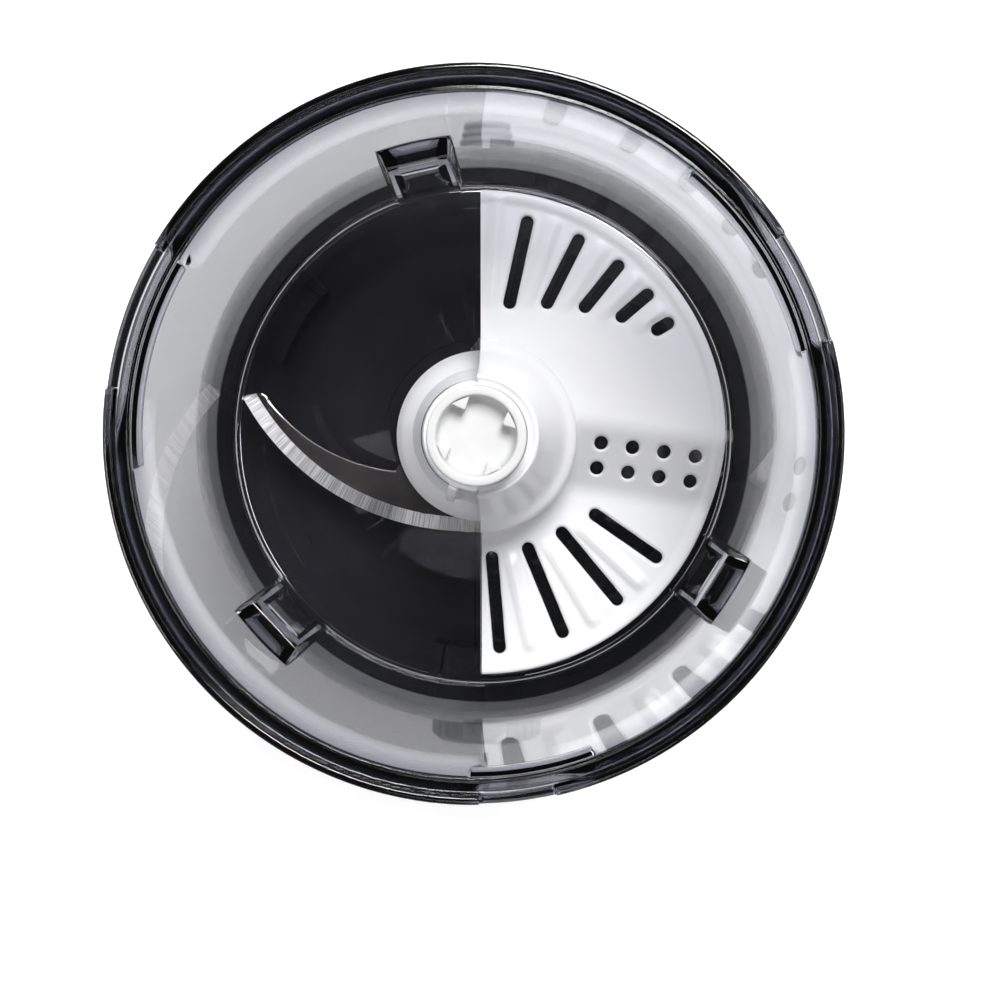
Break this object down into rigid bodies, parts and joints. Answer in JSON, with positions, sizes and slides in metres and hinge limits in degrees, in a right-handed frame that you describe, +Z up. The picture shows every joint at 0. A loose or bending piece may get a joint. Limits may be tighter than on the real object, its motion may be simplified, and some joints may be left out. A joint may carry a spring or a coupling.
{
  "type": "food processor",
  "caption": "Compact food processor: motor base, smoked clear bowl, curved chopping blades and a slotted whipping disc.",
  "frame": {"origin": "on the table, under the drive axis, at the centre of the base's footprint", "axes": "+Z up along the drive axis, -Y towards the front with the knob, +X to the user's right"},
  "size_m": [0.16, 0.186, 0.201],
  "materials": {
    "white_shell": "gloss",
    "black_deck": "satin",
    "dark_plastic": "matte",
    "foot_rubber": "matte",
    "screw_steel": "plain",
    "plate_steel": "satin",
    "bronze": "satin",
    "seal_rubber": "matte",
    "core_steel": "matte",
    "copper": "enamelled",
    "brass_tube": "satin",
    "carbon": "matte",
    "board": "satin",
    "terminal_plastic": "matte",
    "gland_plastic": "satin",
    "shaft_steel": "ground",
    "gear_plastic": "satin",
    "smoked_clear": "smoked clear, polished",
    "hub_grey": "satin",
    "cap_white": "frosted",
    "blade_steel": "ground edge",
    "disc_white": "satin",
    "disc_clear": "clear, polished",
    "knob_plastic": "satin",
    "marker_white": "gloss"
  },
  "bodies": {
    "base": {"housing": "white_shell", "deck": "black_deck", "bottom_plate": "dark_plastic", "rubber_feet": "foot_rubber", "case_screws": "screw_steel", "gear_plate": "plate_steel", "gear_plate_screws": "screw_steel", "spindle_bushes": "bronze", "spindle_seal": "seal_rubber", "stator_core": "core_steel", "field_coils": "copper", "motor_bracket": "plate_steel", "motor_bearings": "bronze", "motor_bolts": "screw_steel", "brush_holders": "brass_tube", "carbon_brushes": "carbon", "circuit_board": "board", "speed_switch": "dark_plastic", "pulse_switch": "dark_plastic", "interlock_switch": "dark_plastic", "terminal_block": "terminal_plastic", "cable_gland": "gland_plastic", "gland_nut": "gland_plastic", "interlock_spring": "screw_steel"},
    "rotor": {"motor_shaft": "shaft_steel", "armature_core": "core_steel", "armature_windings": "copper", "commutator": "copper", "cooling_fan": "dark_plastic", "motor_pinion": "shaft_steel"},
    "drive": {"drive_spindle": "shaft_steel", "drive_gear": "gear_plastic", "spindle_washers": "shaft_steel", "drive_dog": "shaft_steel"},
    "bowl_body": {"bowl": "smoked_clear"},
    "blade_tool": {"blade_hub": "hub_grey", "hub_cap": "cap_white", "lower_blade": "blade_steel", "upper_blade": "blade_steel"},
    "disc": {"disc_half_white": "disc_white", "disc_half_clear": "disc_clear"},
    "knob": {"speed_knob": "knob_plastic", "knob_marker": "marker_white"},
    "button": {"pulse_button": "knob_plastic"},
    "pin": {"interlock_pin": "gear_plastic"}
  },
  "joints": [
    {"name": "drive_spin", "type": "hinge", "parent": "base", "child": "drive", "pos_m": [0, 0, 0.077], "axis": [0, 0, 1], "continuous": true},
    {"name": "motor_spin", "type": "hinge", "parent": "base", "child": "rotor", "pos_m": [0, 0.03, 0.077], "axis": [0, 0, 1], "continuous": true},
    {"name": "bowl_lock", "type": "hinge", "parent": "base", "child": "bowl_body", "pos_m": [0, 0, 0.0905], "axis": [0, 0, 1], "range_deg": [0, 24]},
    {"name": "tool_lift", "type": "slide", "parent": "drive", "child": "blade_tool", "axis": [0, 0, 1], "range_m": [0, 0.11]},
    {"name": "disc_lift", "type": "slide", "parent": "blade_tool", "child": "disc", "axis": [0, 0, 1], "range_m": [0, 0.1]},
    {"name": "knob_turn", "type": "hinge", "parent": "base", "child": "knob", "pos_m": [0, -0.0868, 0.034], "axis": [0, 1, 0], "range_deg": [0, 120]},
    {"name": "button_press", "type": "slide", "parent": "base", "child": "button", "axis": [0, 1, 0], "range_m": [0, 0.0025], "stiffness_N_per_m": 500, "springref_m": -0.002},
    {"name": "pin_press", "type": "slide", "parent": "base", "child": "pin", "axis": [0, 0, -1], "range_m": [0, 0.001], "stiffness_N_per_m": 400, "springref_m": -0.002, "deforming": ["interlock_spring"]}
  ],
  "couplings": [
    {"joint": "motor_spin", "follows": "drive_spin", "ratio": -4}
  ]
}
